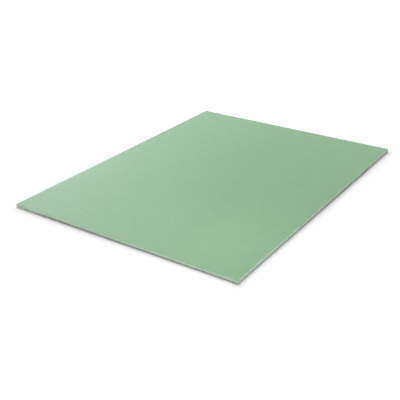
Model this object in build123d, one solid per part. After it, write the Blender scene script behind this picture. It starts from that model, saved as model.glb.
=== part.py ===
"""Acoustic underlay board: one flat board of pressed wood fibre, sawn square on all four sides.

Millimetres. The origin is the centre of the underside. +X runs along the board's length, and +Z points
up, out of the smooth face that the floor covering lies on.
"""

import os

from build123d import *

# Driving dimensions
board_length = 790.0
board_width = 590.0
board_thickness = 5.5
tip_radius = 2.0  # blunted tip of each sawn corner, seen from above
face_arris_radius = 0.8  # round along the smooth face, where handling wears the fibres down
back_arris_radius = 0.4  # round along the underside, crisper because it is only ever laid down


def sawn_blank():
    """The board as the saws leave it: square sides, blunted tips and the full pressed thickness."""
    outline = RectangleRounded(board_length, board_width, tip_radius)
    return extrude(outline, amount=board_thickness)


def arris_of(board, direction):
    """The closed run of edges round the flat face that looks along the direction."""
    return board.faces().sort_by(direction)[-1].edges()


def eased_board():
    """The blank with the arrises of both flat faces rounded, each to its own radius."""
    board = sawn_blank()
    board = fillet(arris_of(board, Axis.Z), face_arris_radius)
    return fillet(arris_of(board, -Axis.Z), back_arris_radius)


os.makedirs("parts", exist_ok=True)
export_step(eased_board(), "parts/underlay_board.step")
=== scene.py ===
import math
import random

import bmesh
import bpy
from mathutils import Matrix, Vector, noise


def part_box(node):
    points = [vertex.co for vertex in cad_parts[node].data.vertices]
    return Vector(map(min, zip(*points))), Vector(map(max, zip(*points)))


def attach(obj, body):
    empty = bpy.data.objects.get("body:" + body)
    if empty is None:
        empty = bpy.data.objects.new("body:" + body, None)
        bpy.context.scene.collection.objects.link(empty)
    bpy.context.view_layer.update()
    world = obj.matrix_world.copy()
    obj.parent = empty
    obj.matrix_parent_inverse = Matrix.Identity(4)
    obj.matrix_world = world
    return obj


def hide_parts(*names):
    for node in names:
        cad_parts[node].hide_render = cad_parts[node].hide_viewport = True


mm = 0.001

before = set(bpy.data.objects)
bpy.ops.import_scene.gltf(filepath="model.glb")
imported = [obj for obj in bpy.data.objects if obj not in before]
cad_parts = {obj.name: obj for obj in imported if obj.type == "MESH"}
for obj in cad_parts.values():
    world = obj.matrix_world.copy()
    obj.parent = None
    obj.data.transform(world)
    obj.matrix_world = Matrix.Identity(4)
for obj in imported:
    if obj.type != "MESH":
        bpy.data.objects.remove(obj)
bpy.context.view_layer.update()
boardLow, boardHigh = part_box("underlay_board")
boardSize = boardHigh - boardLow
print("frame loaded:", [round(s / mm, 2) for s in boardSize], "mm")


# the board's mesh

board = {
    "gridStep": 6 * mm,            # squares on both pressed faces
    "tipRadius": 2 * mm,           # blunted corners, as in the frame
    "tipSegments": 5,
    "faceArris": 0.8 * mm,         # round along the upper face, as in the frame
    "faceArrisSegments": 4,
    "backArris": 0.4 * mm,         # round along the underside, as in the frame
    "backArrisSegments": 3,
    "sideRows": 10,                # bands up the sawn sides
    "squareCuts": 5,               # cuts in each grid square along the rim
    "rimStrip": 0.6 * mm,          # narrow strip that keeps the flat faces flat up to the arris
    "levelWithin": 0.01 * mm,      # heights that differ by less count as level
    "faceLean": 0.7,               # upward part of the normal from which a face counts as pressed, not sawn
    "flatLean": 0.99,              # the same for the flat part of a pressed face
}

wear = {
    "seed": 7,
    "pressWave": 0.06 * mm,        # gentle unevenness of the pressed faces
    "pressWaveLength": 38 * mm,
    # depth, length and height of the torn spots on the sawn sides, coarse and fine
    "tears": ((0.16 * mm, 14 * mm, 2.2 * mm), (0.16 * mm, 3.5 * mm, 0.8 * mm)),
    "tornLean": 0.98,              # upward part of the normal up to which the rim is torn
    "nickCount": 150,              # small bruises along the upper arris
    # way out of the sides that they are drawn from: the two sides in front count twice
    "nickSides": ((-1, 0), (1, 0), (0, -1), (0, 1), (-1, 0), (0, -1)),
    "nickDepth": (0.12 * mm, 0.5 * mm),
    "nickLength": (2.5 * mm, 8 * mm),
    "nickReach": 1.6 * mm,         # how far a bruise runs in from the arris
    "nickPush": 0.7,               # share of the depth that goes inwards, and as much goes down
}


def pressedBlank():
    # a grid the size of the board, pulled up to the full thickness
    middle = (boardHigh + boardLow) / 2
    mesh = bmesh.new()
    bmesh.ops.create_grid(mesh, x_segments=round(boardSize.x / board["gridStep"]),
                          y_segments=round(boardSize.y / board["gridStep"]), size=0.5)
    bmesh.ops.scale(mesh, vec=(boardSize.x, boardSize.y, 1), verts=mesh.verts)
    bmesh.ops.translate(mesh, vec=(middle.x, middle.y, boardLow.z), verts=mesh.verts)
    pulled = bmesh.ops.extrude_face_region(mesh, geom=mesh.faces[:])["geom"]
    lifted = [part for part in pulled if isinstance(part, bmesh.types.BMVert)]
    bmesh.ops.translate(mesh, vec=(0, 0, boardSize.z), verts=lifted)
    bmesh.ops.recalc_face_normals(mesh, faces=mesh.faces)
    return mesh


def edgeRise(edge):
    return abs(edge.verts[0].co.z - edge.verts[1].co.z)


def isUpright(edge):
    return edgeRise(edge) > boardSize.z / 2


def rimEdges(mesh, level):
    # the run where a pressed face at this level meets the sawn sides
    found = []
    for edge in mesh.edges:
        onLevel = all(abs(v.co.z - level) < board["levelWithin"] for v in edge.verts)
        if onLevel and any(abs(f.normal.z) < board["faceLean"] for f in edge.link_faces):
            found.append(edge)
    return found


def roundOff(mesh, edges, radius, segments):
    bmesh.ops.bevel(mesh, geom=edges, offset=radius, offset_type="OFFSET", segments=segments,
                    profile=0.5, affect="EDGES", material=-1)


def easeBlank(mesh):
    # tips first, then the arris round each pressed face
    reach = boardHigh - Vector((board["gridStep"], board["gridStep"], 0)) / 2
    tips = [e for e in mesh.edges if isUpright(e)
            and abs(e.verts[0].co.x) > reach.x and abs(e.verts[0].co.y) > reach.y]
    roundOff(mesh, tips, board["tipRadius"], board["tipSegments"])
    roundOff(mesh, rimEdges(mesh, boardHigh.z), board["faceArris"], board["faceArrisSegments"])
    roundOff(mesh, rimEdges(mesh, boardLow.z), board["backArris"], board["backArrisSegments"])
    mesh.normal_update()


def refineSides(mesh):
    # bands and columns fine enough for torn fibres, on the sawn sides and both arrises only
    uprights = [e for e in mesh.edges if isUpright(e)]
    bmesh.ops.subdivide_edges(mesh, edges=uprights, cuts=board["sideRows"] - 1, use_grid_fill=True)
    along = []
    for edge in mesh.edges:
        longRun = edgeRise(edge) < board["levelWithin"] and edge.calc_length() > board["gridStep"] / 4
        if longRun and any(abs(f.normal.z) < board["flatLean"] for f in edge.link_faces):
            along.append(edge)
    bmesh.ops.subdivide_edges(mesh, edges=along, cuts=board["squareCuts"], use_grid_fill=True)
    mesh.normal_update()
    for sign in (1, -1):
        flat = [f for f in mesh.faces if f.normal.z * sign > board["flatLean"]]
        bmesh.ops.inset_region(mesh, faces=flat, thickness=board["rimStrip"], use_even_offset=True)
    manySided = [f for f in mesh.faces if len(f.verts) > 4]
    bmesh.ops.triangulate(mesh, faces=manySided, quad_method="BEAUTY", ngon_method="BEAUTY")
    mesh.normal_update()


def noiseAt(place, octaves):
    # 0 to 1 and mostly near the middle
    return min(1.0, max(0.0, 0.5 + 0.5 * noise.fractal(place, 1.0, 2.0, octaves)))


def roughenBoard(mesh):
    # every move is inwards, so the board keeps its size
    rim = [v for v in mesh.verts if abs(v.normal.z) < wear["tornLean"]]
    outward = [Vector((v.normal.x, v.normal.y, 0)).normalized() for v in rim]
    for vert, out in zip(rim, outward):
        torn = 0.0
        for depth, length, height in wear["tears"]:
            spot = Vector((vert.co.x / length, vert.co.y / length, vert.co.z / height))
            torn += depth * noiseAt(spot, octaves=2)
        vert.co -= out * torn
    backShift = Vector((0, 0, 9))  # another cut through the noise for the underside
    for vert in mesh.verts:
        share = (vert.co.z - boardLow.z) / boardSize.z
        flat = Vector((vert.co.x, vert.co.y, 0)) / wear["pressWaveLength"]
        sink = noiseAt(flat, octaves=3)
        lift = noiseAt(flat + backShift, octaves=3)
        vert.co.z += wear["pressWave"] * (lift * (1 - share) - sink * share)


def drawNicks():
    # place, way out of the board, half length and depth of each bruise
    draw = random.Random(wear["seed"])
    nicks = []
    for _ in range(wear["nickCount"]):
        outX, outY = draw.choice(wear["nickSides"])
        run = draw.uniform(-1, 1)
        place = Vector((boardSize.x / 2 * (outX or run), boardSize.y / 2 * (outY or run), boardHigh.z))
        halfLength = draw.uniform(*wear["nickLength"]) / 2
        nicks.append((place, Vector((outX, outY, 0)), halfLength, draw.uniform(*wear["nickDepth"])))
    return nicks


def bruiseArris(mesh):
    # short dents where the upper arris has been knocked
    reach = wear["nickReach"]
    rim = boardSize / 2 - Vector((reach, reach, 0))
    near = [v for v in mesh.verts if v.co.z > boardHigh.z - reach
            and (abs(v.co.x) > rim.x or abs(v.co.y) > rim.y)]
    for place, out, halfLength, depth in drawNicks():
        inward = Vector((-out.x, -out.y, -1)) * wear["nickPush"]
        for vert in near:
            gap = vert.co - place
            along = abs(gap.x * out.y - gap.y * out.x) / halfLength
            deep = math.hypot(gap.x * out.x + gap.y * out.y, gap.z) / reach
            if along < 1 and deep < 1:
                push = depth * (1 - along * along) * (1 - deep)
                vert.co += inward * push


def finishSlot(face):
    # 0 for the pressed face, 1 for the sawn edge, 2 for the screen back, in the order they are made below
    if face.normal.z > board["faceLean"]:
        return 0
    return 2 if face.normal.z < -board["faceLean"] else 1


def buildBoard():
    mesh = pressedBlank()
    easeBlank(mesh)
    refineSides(mesh)
    roughenBoard(mesh)
    bruiseArris(mesh)
    mesh.normal_update()
    for face in mesh.faces:
        face.smooth = True
        face.material_index = finishSlot(face)
    data = bpy.data.meshes.new("pressed_board")
    mesh.to_mesh(data)
    mesh.free()
    piece = bpy.data.objects.new("pressed_board", data)
    bpy.context.scene.collection.objects.link(piece)
    return piece


pressedBoard = buildBoard()
print("board built:", len(pressedBoard.data.polygons), "faces")


# node helpers

def feed(tree, socket, value):
    # another socket is linked, any other value is set
    if isinstance(value, bpy.types.NodeSocket):
        tree.links.new(value, socket)
    else:
        socket.default_value = value


def addNode(tree, kind, inputs=None, **settings):
    made = tree.nodes.new("ShaderNode" + kind)
    for name, value in settings.items():
        setattr(made, name, value)
    for name, value in (inputs or {}).items():
        feed(tree, made.inputs[name], value)
    return made


def sums(tree, operation, first, second=0.0, third=0.0):
    made = addNode(tree, "Math", {0: first, 1: second, 2: third}, operation=operation)
    return made.outputs[0]


def swayed(tree, start, value, mean, swing):
    # the start, moved by how far a value lies from its mean
    return sums(tree, "MULTIPLY_ADD", sums(tree, "SUBTRACT", value, mean), swing, start)


def spread(tree, value, fromLow, fromHigh, toLow=0.0, toHigh=1.0, smooth=True):
    made = addNode(tree, "MapRange", {"Value": value, "From Min": fromLow, "From Max": fromHigh,
                                      "To Min": toLow, "To Max": toHigh},
                   interpolation_type="SMOOTHSTEP" if smooth else "LINEAR")
    return made.outputs["Result"]


def vectorSums(tree, operation, first, second):
    return addNode(tree, "VectorMath", {0: first, 1: second}, operation=operation).outputs[0]


def blendColours(tree, share, first, second):
    made = addNode(tree, "Mix", {"Factor": share, 6: first, 7: second}, data_type="RGBA")
    return made.outputs[2]


def opaque(colour):
    return (*colour, 1.0)


def newGroup(name, inputs, outputs):
    group = bpy.data.node_groups.new(name, "ShaderNodeTree")
    for label, kind in inputs:
        group.interface.new_socket(label, in_out="INPUT", socket_type="NodeSocket" + kind)
    for label, kind in outputs:
        group.interface.new_socket(label, in_out="OUTPUT", socket_type="NodeSocket" + kind)
    return group, group.nodes.new("NodeGroupInput").outputs, group.nodes.new("NodeGroupOutput").inputs


def placeGroup(tree, group, inputs):
    return addNode(tree, "Group", inputs, node_tree=group).outputs


# shared surface effects

def makeFibres():
    # single fibres, one to a cell of a stretched pattern, each with its own lean and shade
    inputs = [("Vector", "Vector"), ("Spacing", "Float"), ("Stretch", "Float"), ("Lean", "Float"),
              ("Length", "Float"), ("Width", "Float"), ("Share", "Float")]
    group, given, result = newGroup("scatteredFibres", inputs, [("Fibre", "Float"), ("Shade", "Float")])

    def stretched(vector, alongX):
        factors = addNode(group, "CombineXYZ", {"X": alongX, "Y": 1.0, "Z": 0.0}).outputs[0]
        return vectorSums(group, "MULTIPLY", vector, factors)

    squeezed = stretched(given["Vector"], sums(group, "DIVIDE", 1.0, given["Stretch"]))
    cells = addNode(group, "TexVoronoi", {"Vector": squeezed, "Randomness": 1.0,
                                          "Scale": sums(group, "DIVIDE", 1.0, given["Spacing"])},
                    voronoi_dimensions="2D").outputs
    chance = addNode(group, "SeparateColor", {0: cells["Color"]}).outputs
    gap = stretched(vectorSums(group, "SUBTRACT", squeezed, cells["Position"]), given["Stretch"])
    angle = sums(group, "MULTIPLY", sums(group, "SUBTRACT", chance[0], 0.5), given["Lean"])
    turned = addNode(group, "VectorRotate", {"Vector": gap, "Angle": angle}, rotation_type="Z_AXIS")
    parts = addNode(group, "SeparateXYZ", {0: turned.outputs[0]}).outputs
    along = sums(group, "DIVIDE", parts[0], given["Length"])
    across = sums(group, "DIVIDE", parts[1], given["Width"])
    away = sums(group, "MULTIPLY_ADD", along, along, sums(group, "MULTIPLY", across, across))
    shape = spread(group, away, 1.0, 0.2)  # full in the middle, gone at the half length and half width
    picked = sums(group, "LESS_THAN", chance[1], given["Share"])
    group.links.new(sums(group, "MULTIPLY", shape, picked), result["Fibre"])
    group.links.new(chance[2], result["Shade"])
    return group


def makeRim():
    # 1 on the outline of the board, falling to 0 at the reach
    inputs = [("Vector", "Vector"), ("Reach", "Float")]
    group, given, result = newGroup("rimNearness", inputs, [("Near", "Float")])
    parts = addNode(group, "SeparateXYZ", {0: given["Vector"]}).outputs
    gapX = sums(group, "SUBTRACT", boardSize.x / 2, sums(group, "ABSOLUTE", parts[0]))
    gapY = sums(group, "SUBTRACT", boardSize.y / 2, sums(group, "ABSOLUTE", parts[1]))
    gap = sums(group, "DIVIDE", sums(group, "MINIMUM", gapX, gapY), given["Reach"])
    group.links.new(spread(group, gap, 1.0, 0.0), result["Near"])
    return group


def makeFelt():
    # felted pulp: soft clouds, fine grain and bent coordinates for the fibres
    inputs = [("Vector", "Vector"), ("Cloud Size", "Float"), ("Grain Size", "Float"), ("Bend", "Float")]
    outputs = [("Cloud", "Float"), ("Grain", "Float"), ("Bent", "Vector")]
    group, given, result = newGroup("feltedPulp", inputs, outputs)

    def pulp(size, detail, roughness):
        scale = sums(group, "DIVIDE", 1.0, size)
        return addNode(group, "TexNoise", {"Vector": given["Vector"], "Scale": scale, "Detail": detail,
                                           "Roughness": roughness}).outputs

    group.links.new(pulp(given["Cloud Size"], detail=3.0, roughness=0.55)["Fac"], result["Cloud"])
    group.links.new(pulp(given["Grain Size"], detail=2.0, roughness=0.6)["Fac"], result["Grain"])
    swirlSize = sums(group, "MULTIPLY", given["Bend"], 8.0)
    swirlReach = sums(group, "MULTIPLY", given["Bend"], 4.0)
    swirl = pulp(swirlSize, detail=1.0, roughness=0.5)["Color"]
    centred = vectorSums(group, "SUBTRACT", swirl, (0.5, 0.5, 0.5))
    moved = addNode(group, "VectorMath", {0: centred, "Scale": swirlReach}, operation="SCALE").outputs[0]
    group.links.new(vectorSums(group, "ADD", given["Vector"], moved), result["Bent"])
    return group


scatteredFibres = makeFibres()
rimNearness = makeRim()
feltedPulp = makeFelt()
print("effects made:", [g.name for g in (scatteredFibres, rimNearness, feltedPulp)])


# what the finishes share

usualRange = (0.3, 0.7)  # where most values of a noise or a tone lie


def startMaterial(name):
    material = bpy.data.materials.new(name)
    material.use_nodes = True
    tree = material.node_tree
    place = addNode(tree, "TexCoord").outputs["Object"]
    return material, tree, tree.nodes["Principled BSDF"], place


def dressShader(tree, shader, colour, roughness, height, relief):
    bump = addNode(tree, "Bump", {"Height": height, "Distance": relief, "Strength": 1.0})
    feed(tree, shader.inputs["Base Color"], colour)
    feed(tree, shader.inputs["Roughness"], roughness)
    feed(tree, shader.inputs["Normal"], bump.outputs[0])


def toneRamp(tree, tone, colours):
    # dark, middle and pale colour for a tone of 0, a half and 1
    made = addNode(tree, "ValToRGB", {"Fac": tone})
    made.color_ramp.elements.new(0.5)
    for stop, colour in zip(made.color_ramp.elements, colours):
        stop.color = opaque(colour)
    return made.outputs["Color"]


def lockedFibres(tree, place, layer):
    # one layer of fibres, turned and shifted as a whole
    turn, spacing, length, width, stretch, lean, share = layer[:7]
    turned = addNode(tree, "Mapping", {"Vector": place, "Location": (turn * mm, 3 * turn * mm, 0),
                                       "Rotation": (0, 0, math.radians(turn))}).outputs[0]
    return placeGroup(tree, scatteredFibres, {
        "Vector": turned, "Spacing": spacing * mm, "Stretch": stretch, "Lean": math.radians(lean),
        "Length": length * mm, "Width": width * mm, "Share": share})


def layFibres(tree, place, layers, tone, height):
    # each layer shifts the tone either way and lies on the ones before
    for layer in layers:
        toneStep, heightStep = layer[7:]
        fibres = lockedFibres(tree, place, layer)
        swing = sums(tree, "MULTIPLY_ADD", fibres["Shade"], 2 * toneStep, -toneStep)
        tone = sums(tree, "MULTIPLY_ADD", swing, fibres["Fibre"], tone)
        height = sums(tree, "MAXIMUM", height, sums(tree, "MULTIPLY", fibres["Fibre"], heightStep))
    return tone, height


# pressed face

# a fibre layer, here and on the sawn edge: turn in degrees, cell width, half length and half width in
# millimetres, cell length over width, lean in degrees, share of cells with a fibre, then how far it
# shifts the tone and how high it stands
pressedFinish = {
    "tones": ((0.169, 0.336, 0.182), (0.211, 0.398, 0.225), (0.264, 0.467, 0.276)),
    "cloudSize": 26 * mm,
    "cloudSwing": 0.24,
    "grainSize": 0.8 * mm,
    "grainSwing": 0.8,
    "grainHeight": 0.4,            # beside a fibre that stands 1 high
    "bend": 1.2 * mm,              # how far fibres are bent
    "fibres": (
        (14, 0.8, 1.8, 0.13, 5, 50, 1.0, 0.26, 0.45),
        (61, 0.8, 1.8, 0.13, 5, 50, 1.0, 0.26, 0.45),
        (107, 0.8, 1.8, 0.13, 5, 50, 1.0, 0.26, 0.50),
        (155, 0.9, 2.1, 0.15, 5, 50, 1.0, 0.28, 0.60),
        (30, 3.4, 3.4, 0.19, 1, 360, 0.9, 0.32, 0.80),
        (80, 6.5, 5.5, 0.24, 1, 360, 0.7, 0.36, 1.00),
    ),
    "shives": (0, 17.0, 6.0, 0.42, 1, 360, 0.30),  # coarse splinters, a fibre layer without the last two
    "lightShive": (0.36, 0.50, 0.35),
    "darkShive": (0.12, 0.22, 0.13),
    "shiveCover": 0.8,
    # the pale rim's colour: rubbed wear together with a painted highlight where the upper arris catches the
    # light
    "wornAndLitRim": (0.60, 0.71, 0.60),
    "wornAndLitReach": (0.44 * mm, 3.96 * mm),  # least and most width of the pale rim of wear and painted highlight
    "wornAndLitPatch": 7 * mm,
    "wornAndLitFibres": (0.5, 1.0),      # how far dark and pale fibres take the pale rim of wear and painted highlight
    "relief": 0.09 * mm,
    "roughness": (0.62, 0.5),      # in the hollows and on the fibres
    "gloss": 0.16,
}


def feltSurface(tree, place):
    # tone and height of the pressed fibres, and their bent coordinates
    felt = placeGroup(tree, feltedPulp, {"Vector": place, "Cloud Size": pressedFinish["cloudSize"],
                                         "Grain Size": pressedFinish["grainSize"],
                                         "Bend": pressedFinish["bend"]})
    tone = swayed(tree, 0.5, felt["Cloud"], 0.5, pressedFinish["cloudSwing"])
    tone = swayed(tree, tone, felt["Grain"], 0.5, pressedFinish["grainSwing"])
    height = sums(tree, "MULTIPLY", felt["Grain"], pressedFinish["grainHeight"])
    tone, height = layFibres(tree, felt["Bent"], pressedFinish["fibres"], tone, height)
    return tone, height, felt["Bent"]


def addShives(tree, colour, bent):
    shives = lockedFibres(tree, bent, pressedFinish["shives"])
    shiveColour = blendColours(tree, sums(tree, "GREATER_THAN", shives["Shade"], 0.5),
                               opaque(pressedFinish["darkShive"]), opaque(pressedFinish["lightShive"]))
    cover = sums(tree, "MULTIPLY", shives["Fibre"], pressedFinish["shiveCover"])
    return blendColours(tree, cover, colour, shiveColour)


def rubAndLightRim(tree, colour, tone, place):
    # a pale rim of uneven width: partly wear where hands and other boards have rubbed, partly a painted
    # highlight along the upper arris
    patch = addNode(tree, "TexNoise", {"Vector": place, "Scale": 1 / pressedFinish["wornAndLitPatch"],
                                       "Detail": 3.0}).outputs["Fac"]
    reach = spread(tree, patch, *usualRange, *pressedFinish["wornAndLitReach"], smooth=False)
    near = placeGroup(tree, rimNearness, {"Vector": place, "Reach": reach})["Near"]
    rubbedAndLit = sums(tree, "MULTIPLY", near, spread(tree, tone, *usualRange, *pressedFinish["wornAndLitFibres"]))
    return blendColours(tree, rubbedAndLit, colour, opaque(pressedFinish["wornAndLitRim"]))


def pressedFace():
    material, tree, shader, place = startMaterial("pressedFace")
    tone, height, bent = feltSurface(tree, place)
    colour = toneRamp(tree, tone, pressedFinish["tones"])
    colour = addShives(tree, colour, bent)
    colour = rubAndLightRim(tree, colour, tone, place)
    roughness = spread(tree, height, 0.0, 1.0, *pressedFinish["roughness"])
    dressShader(tree, shader, colour, roughness, height, pressedFinish["relief"])
    shader.inputs["Specular IOR Level"].default_value = pressedFinish["gloss"]
    return material


# sawn edge

sawnFinish = {
    # the lower side's tones, darkened as painted shade along the contact with the floor
    "tones": ((0.145, 0.225, 0.155), (0.205, 0.295, 0.21), (0.275, 0.37, 0.275)),
    "meanTone": 0.45,
    "layerLength": 9 * mm,         # pressed layers that the saw has laid open
    "layerHeight": 0.7 * mm,
    "layerSwing": 0.7,
    "grainSize": 0.5 * mm,
    "grainSwing": 0.8,
    "grainHeight": 0.6,            # beside a fibre that stands 1 high
    "fibres": (
        (0, 0.34, 0.9, 0.075, 5, 40, 1.0, 0.30, 0.5),
        (0, 0.46, 1.3, 0.10, 5, 40, 0.9, 0.32, 0.7),
        (0, 0.95, 1.0, 0.11, 1.6, 90, 0.5, 0.30, 1.0),
    ),
    # loosened fibres under the upper arris, made paler also as a painted highlight over the upper part of
    # the side
    "frayLitTones": ((0.43, 0.54, 0.43), (0.53, 0.63, 0.53), (0.61, 0.70, 0.605)),
    "frayLitHeight": (1.4 * mm, 2.9 * mm),  # from where to where they take over from the painted shade of the lower side
    "frayLitSway": 2.6 * mm,          # how far that line wanders up and down
    "frayLitLength": 2.5 * mm,        # how long a swing of it is
    "frayLitFibre": 1.8 * mm,         # how far single fibres reach over it
    # at the left and right tips the painted shade of the lower side fades out, and the pale band reaches
    # right down
    "tipShadeFade": (0.70, 0.88),       # where that starts and is full along a side, with 1 at the tip
    "tipShadeFadeDrop": 4 * mm,             # how far the line sinks there
    "pore": (0.13, 0.20, 0.135),
    "poreGrain": (0.30, 0.16),     # grain at which a pore starts and is full
    "relief": 0.15 * mm,
    "roughness": 0.95,
}


def sawnEdge():
    material, tree, shader, place = startMaterial("sawnEdge")
    acrossX, acrossY, up = addNode(tree, "SeparateXYZ", {0: place}).outputs
    run = sums(tree, "SUBTRACT", acrossX, acrossY)  # runs on round all four sides
    unrolled = addNode(tree, "CombineXYZ", {"X": run, "Y": up, "Z": 0.0}).outputs[0]

    def pulp(length, height, detail):
        squeezed = addNode(tree, "Mapping", {"Vector": unrolled,
                                             "Scale": (1 / length, 1 / height, 1.0)}).outputs[0]
        return addNode(tree, "TexNoise", {"Vector": squeezed, "Scale": 1.0, "Detail": detail,
                                          "Roughness": 0.6}).outputs["Fac"]

    layer = pulp(sawnFinish["layerLength"], sawnFinish["layerHeight"], detail=2.0)
    grain = pulp(sawnFinish["grainSize"] * 2, sawnFinish["grainSize"], detail=3.0)
    ragged = pulp(sawnFinish["frayLitLength"], sawnFinish["frayLitLength"] * 2, detail=3.0)
    tone = swayed(tree, sawnFinish["meanTone"], layer, 0.5, sawnFinish["layerSwing"])
    tone = swayed(tree, tone, grain, 0.5, sawnFinish["grainSwing"])
    height = sums(tree, "MULTIPLY", grain, sawnFinish["grainHeight"])
    tone, height = layFibres(tree, unrolled, sawnFinish["fibres"], tone, height)

    # 1 at the left and right tips, 0 halfway along a side, -1 at the near and far tips
    tipwards = sums(tree, "MULTIPLY", sums(tree, "MULTIPLY", acrossX, acrossY),
                    -4 / (boardSize.x * boardSize.y))
    tip = spread(tree, tipwards, *sawnFinish["tipShadeFade"])
    line = swayed(tree, up, ragged, 0.5, sawnFinish["frayLitSway"])
    line = swayed(tree, line, tone, sawnFinish["meanTone"], sawnFinish["frayLitFibre"])
    # the painted shade gives way at the left and right tips, where the pale band sinks
    line = sums(tree, "MULTIPLY_ADD", tip, sawnFinish["tipShadeFadeDrop"], line)
    # a pale band of loose fibres and painted highlight above, the darker tones of painted shade below
    frayedAndLit = spread(tree, line, *sawnFinish["frayLitHeight"])
    colour = blendColours(tree, frayedAndLit, toneRamp(tree, tone, sawnFinish["tones"]),
                          toneRamp(tree, tone, sawnFinish["frayLitTones"]))
    pores = spread(tree, grain, *sawnFinish["poreGrain"])
    colour = blendColours(tree, pores, colour, opaque(sawnFinish["pore"]))
    dressShader(tree, shader, colour, sawnFinish["roughness"], height, sawnFinish["relief"])
    return material


# underside

backFinish = {
    "tones": ((0.21, 0.36, 0.226), (0.27, 0.436, 0.284), (0.335, 0.505, 0.344)),
    "screenPitch": 2.0 * mm,
    "pillowFlat": 0.55,            # part of its rise from which a pillow between the wires is flat
    "pillowMean": 0.7,
    "pillowSwing": 0.3,            # how much paler a pillow is than the grooves
    "feltHeight": 0.35,            # fibres beside a pillow that stands 1 high
    "relief": 0.12 * mm,
    "roughness": (0.85, 0.7),      # in the grooves and on the pillows
}


def screenBack():
    # the felt again, with the imprint of the forming screen
    material, tree, shader, place = startMaterial("screenBack")
    tone, height = feltSurface(tree, place)[:2]
    parts = addNode(tree, "SeparateXYZ", {0: place}).outputs

    def ribs(value):
        wave = sums(tree, "SINE", sums(tree, "MULTIPLY", value, math.pi / backFinish["screenPitch"]))
        return sums(tree, "ABSOLUTE", wave)

    rise = sums(tree, "MULTIPLY", ribs(parts[0]), ribs(parts[1]))
    pillow = spread(tree, rise, 0.0, backFinish["pillowFlat"])
    tone = swayed(tree, tone, pillow, backFinish["pillowMean"], backFinish["pillowSwing"])
    height = sums(tree, "MULTIPLY_ADD", height, backFinish["feltHeight"], pillow)
    colour = toneRamp(tree, tone, backFinish["tones"])
    roughness = spread(tree, pillow, 0.0, 1.0, *backFinish["roughness"])
    dressShader(tree, shader, colour, roughness, height, backFinish["relief"])
    return material


for finish in (pressedFace, sawnEdge, screenBack):
    pressedBoard.data.materials.append(finish())
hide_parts("underlay_board")
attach(pressedBoard, "root")
print("finishes made:", [m.name for m in pressedBoard.data.materials])


# floor and light

studio = {
    "floorSize": 24.0,
    "floorColour": (0.97, 0.97, 0.97),
    # lifts the lit floor to white for the camera alone: none in the board's shadow, then more with distance
    "shadowReach": (8 * mm, 27 * mm),
    "floorGlow": (0.155, 0.6),     # past the shadow, and what a metre adds
    "fill": 0.02,                  # even light from all round
    # azimuth and elevation in degrees, as for the camera, distance and width in metres,
    # and the share of the light on a level surface at the aim
    "lamps": {
        "back": (138, 39, 14.0, 9.4, 0.578),
        "left": (147, 25, 3.0, 0.9, 0.20),
        "right": (95, 20, 4.0, 1.8, 0.055),
        "front": (-46, 7, 4.5, 0.9, 0.080),
        "near": (-54, 42, 0.65, 0.25, 0.047),
        "tip": (126, 58, 0.30, 0.15, 0.095),
    },
    "lampAims": {"tip": (-0.40, -0.30, 0)},  # the others are aimed at the middle of the board
}


def seenRays(tree):
    # 1 for rays that show the background: from the camera, a mirror or glass
    path = addNode(tree, "LightPath").outputs
    gloss = sums(tree, "MAXIMUM", path["Is Glossy Ray"], path["Is Transmission Ray"])
    return sums(tree, "MAXIMUM", path["Is Camera Ray"], gloss)


def shadowDistance(tree):
    # how far a spot of the floor lies outside the board, with the shadow's reach added on the two sides
    # that the shadow doesn't fall on
    shift = studio["shadowReach"][1] / 2
    parts = addNode(tree, "SeparateXYZ", {0: addNode(tree, "TexCoord").outputs["Object"]}).outputs
    gaps = []
    for part, size in zip(parts, boardSize.xy):
        offCentre = sums(tree, "ABSOLUTE", sums(tree, "ADD", part, shift))
        gaps.append(sums(tree, "SUBTRACT", offCentre, size / 2 - shift))
    return sums(tree, "MAXIMUM", *gaps)


def paleFloor():
    material = bpy.data.materials.new("paleFloor")
    material.use_nodes = True
    tree = material.node_tree
    tree.nodes.remove(tree.nodes["Principled BSDF"])
    matt = addNode(tree, "BsdfDiffuse", {"Color": opaque(studio["floorColour"])})
    distance = sums(tree, "MAXIMUM", shadowDistance(tree), 0.0)
    beside, perMetre = studio["floorGlow"]
    glowLevel = sums(tree, "MULTIPLY_ADD", distance, perMetre,
                     spread(tree, distance, *studio["shadowReach"], 0.0, beside))
    glow = addNode(tree, "Emission", {"Strength": sums(tree, "MULTIPLY", seenRays(tree), glowLevel)})
    both = addNode(tree, "AddShader", {0: matt.outputs[0], 1: glow.outputs[0]})
    tree.links.new(both.outputs[0], tree.nodes["Material Output"].inputs["Surface"])
    return material


def layFloor():
    mesh = bmesh.new()
    bmesh.ops.create_grid(mesh, x_segments=2, y_segments=2, size=studio["floorSize"] / 2)
    data = bpy.data.meshes.new("floor")
    mesh.to_mesh(data)
    mesh.free()
    data.materials.append(paleFloor())
    floor = bpy.data.objects.new("floor", data)
    bpy.context.scene.collection.objects.link(floor)


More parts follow.
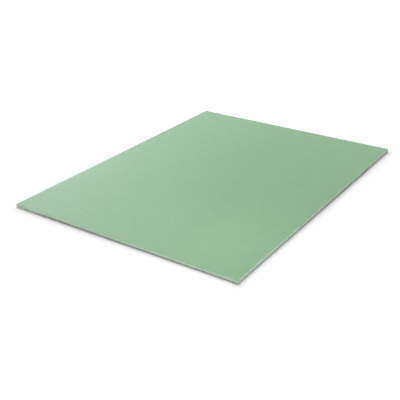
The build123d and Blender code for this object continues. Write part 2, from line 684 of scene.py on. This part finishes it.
def lightRoom():
    world = bpy.data.worlds.new("paleRoom")
    bpy.context.scene.world = world
    world.use_nodes = True
    tree = world.node_tree
    background = tree.nodes["Background"].inputs
    background["Color"].default_value = opaque((1, 1, 1))
    feed(tree, background["Strength"],
         spread(tree, seenRays(tree), 0.0, 1.0, studio["fill"], 1.0, smooth=False))


def fromAngles(azimuth, elevation):
    turn, rise = math.radians(azimuth), math.radians(elevation)
    return Vector((math.sin(turn) * math.cos(rise), -math.cos(turn) * math.cos(rise), math.sin(rise)))


def hangLamps():
    # round softboxes
    for name, (azimuth, elevation, distance, width, share) in studio["lamps"].items():
        aim = Vector(studio["lampAims"].get(name, (0, 0, 0)))
        away = fromAngles(azimuth, elevation)
        light = bpy.data.lights.new(name, "AREA")
        light.shape = "DISK"
        light.size = width
        light.energy = share * (math.pi * distance) ** 2 / away.z
        lamp = bpy.data.objects.new(name, light)
        lamp.location = aim + away * distance
        lamp.rotation_euler = (-away).to_track_quat("-Z", "Y").to_euler()
        lamp.visible_camera = False
        bpy.context.scene.collection.objects.link(lamp)


layFloor()
lightRoom()
hangLamps()
print("studio set:", len(studio["lamps"]), "lamps")


# camera

viewpoint = {
    "azimuth": -56.091,            # degrees, 0 looks along +Y
    "elevation": 25.978,
    "roll": -0.281,
    "distance": 1.61384,
    "aim": (-0.136778, -0.037976, 0.0),
    "focalPixels": 695.237,        # for an image of the width below
    "imagePixels": 400,
    "sensorWidth": 36,             # millimetres
}


def setCamera():
    data = bpy.data.cameras.new("camera")
    data.sensor_width = viewpoint["sensorWidth"]
    data.lens = data.sensor_width * viewpoint["focalPixels"] / viewpoint["imagePixels"]
    camera = bpy.data.objects.new("camera", data)
    back = fromAngles(viewpoint["azimuth"], viewpoint["elevation"])
    look = (-back).to_track_quat("-Z", "Y").to_matrix()
    roll = Matrix.Rotation(math.radians(viewpoint["roll"]), 3, "Z")
    camera.location = Vector(viewpoint["aim"]) + back * viewpoint["distance"]
    camera.rotation_euler = (look @ roll).to_euler()
    bpy.context.scene.collection.objects.link(camera)
    bpy.context.scene.camera = camera


setCamera()
bpy.context.scene.view_settings.view_transform = "Standard"
print("camera set")
